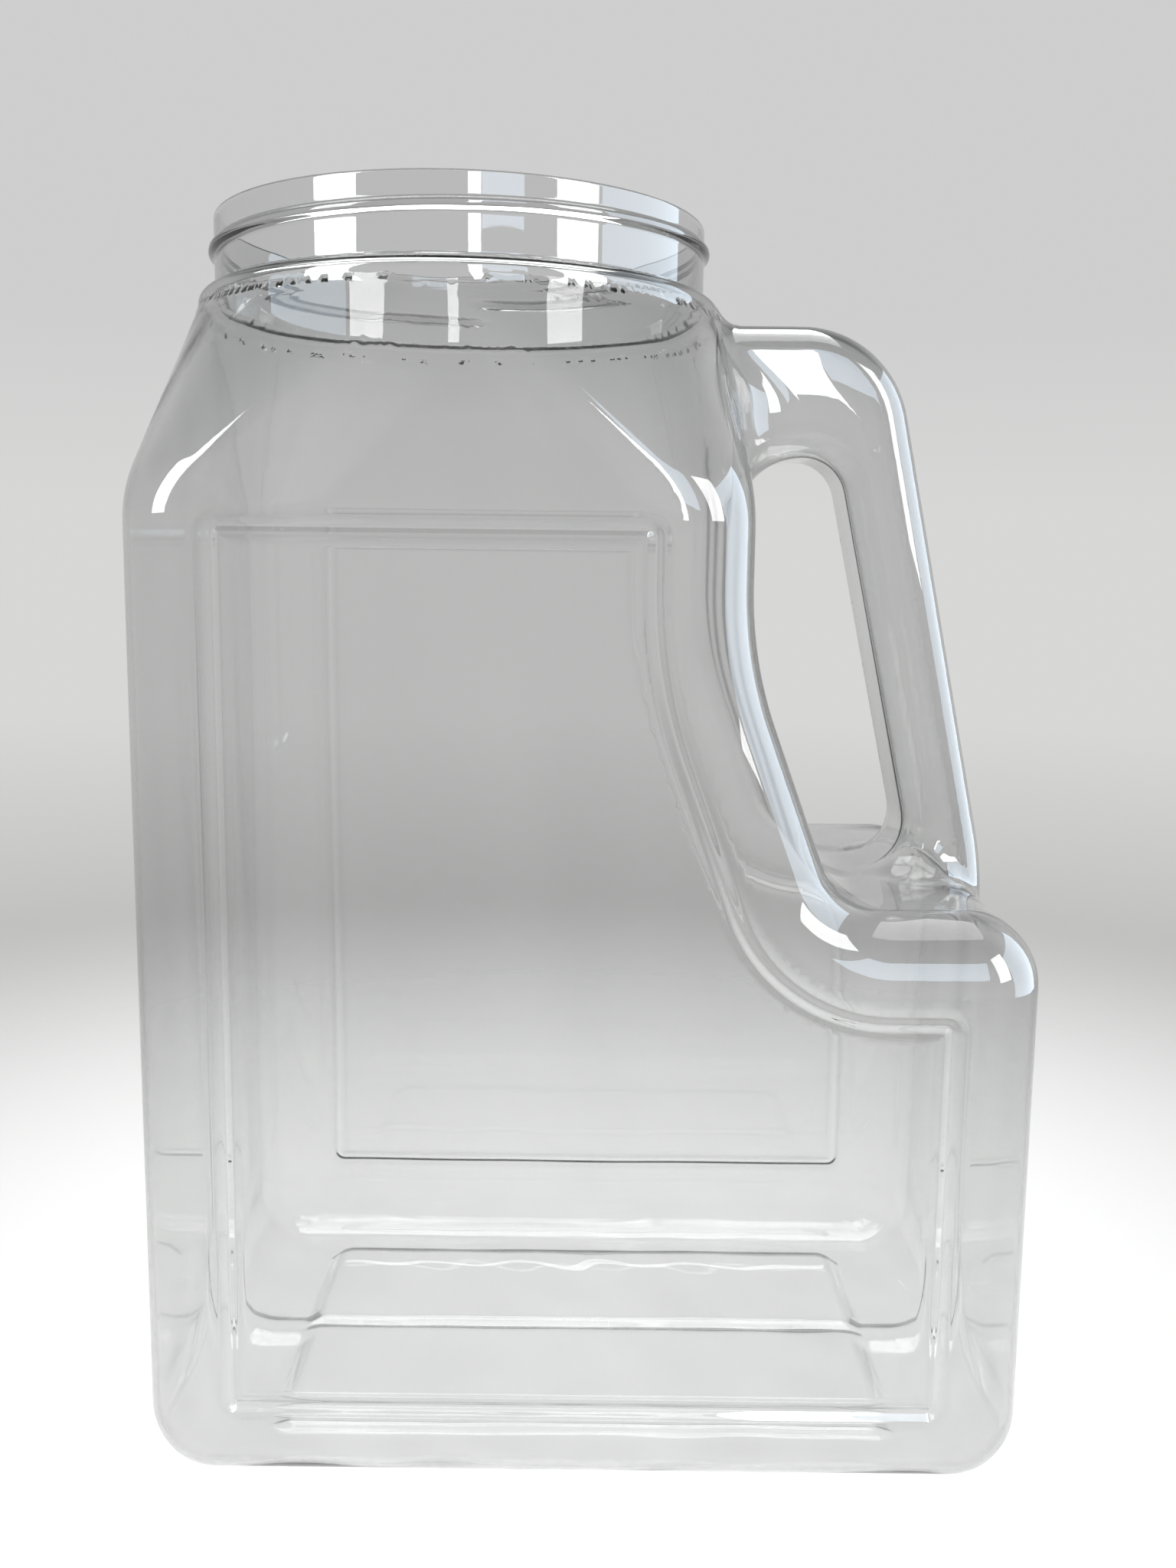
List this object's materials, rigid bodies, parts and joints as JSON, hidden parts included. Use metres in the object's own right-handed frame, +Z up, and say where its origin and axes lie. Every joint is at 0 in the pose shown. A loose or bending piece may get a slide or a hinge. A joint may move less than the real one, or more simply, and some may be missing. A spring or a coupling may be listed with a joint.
{
  "type": "handled wide-mouth jug",
  "caption": "Clear blow-moulded wide-mouth jug with recessed label panels, an offset threaded neck, a cut-away side and a hollow handle",
  "frame": {"origin": "middle of the footprint, on the surface the jug stands on", "axes": "+Z up, +X from the tall part towards the handle, +Y from the front label panel towards the back one"},
  "size_m": [0.182, 0.129, 0.2614],
  "materials": {
    "clear_pet": "clear, glossy, blow-moulded"
  },
  "bodies": {
    "root": {"base": "clear_pet", "front_wall": "clear_pet", "back_wall": "clear_pet", "left_wall": "clear_pet", "right_wall": "clear_pet", "block_top": "clear_pet", "grip_wall": "clear_pet", "shoulder": "clear_pet", "neck_finish": "clear_pet", "cap_thread": "clear_pet", "handle_limb": "clear_pet", "handle_grip": "clear_pet", "handle_foot": "clear_pet"}
  },
  "joints": []
}
